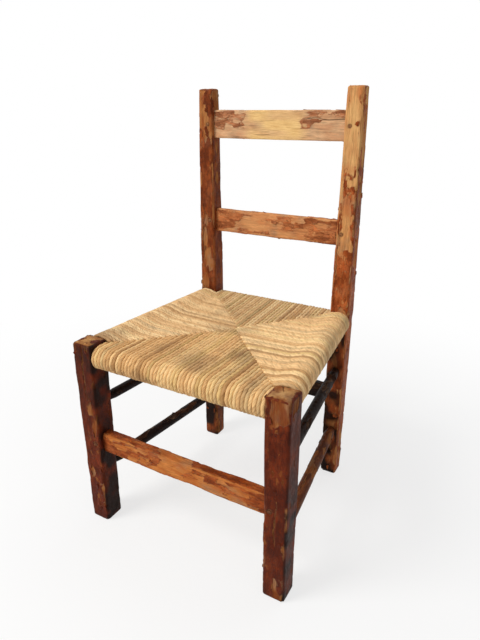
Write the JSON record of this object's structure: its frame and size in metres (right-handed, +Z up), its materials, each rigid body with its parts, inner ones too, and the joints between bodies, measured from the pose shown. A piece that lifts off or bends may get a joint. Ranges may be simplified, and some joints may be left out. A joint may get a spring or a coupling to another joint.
{
  "type": "ladder-back chair",
  "caption": "Low wooden ladder-back chair with square posts, flat slats, side rungs and a woven rush seat; old paint worn and peeling down to bare wood.",
  "frame": {"origin": "on the floor, under the middle of the chair's bounding box", "axes": "+Z up, +Y from the front legs towards the back, +X to the right of someone who looks at the chair's front"},
  "size_m": [0.3464, 0.3304, 0.65],
  "materials": {
    "leg_paint": "dark red-brown paint, cracked and flaking, worn to bare wood at the corners",
    "post_paint": "faded red-brown paint, peeling in patches to pale bare wood",
    "slat_paint": "thin worn paint with large bare patches",
    "rung_paint": "dark grimy paint, chipped",
    "bare_wood": "bare, dry, matt",
    "rush": "twisted rush cord, dry, slightly shiny",
    "straw": "loose dry straw"
  },
  "bodies": {
    "root": {"front_left_leg": "leg_paint", "front_right_leg": "leg_paint", "back_left_post": "post_paint", "back_right_post": "post_paint", "top_slat": "slat_paint", "lower_slat": "slat_paint", "front_stretcher": "slat_paint", "rear_stretcher": "rung_paint", "left_lower_rung": "rung_paint", "right_lower_rung": "rung_paint", "left_upper_rung": "rung_paint", "right_upper_rung": "rung_paint", "front_seat_rail": "bare_wood", "back_seat_rail": "bare_wood", "left_seat_rail": "bare_wood", "right_seat_rail": "bare_wood", "rush_seat": "rush", "seat_packing": "straw", "slat_pegs": "bare_wood", "stretcher_pegs": "bare_wood"}
  },
  "joints": []
}
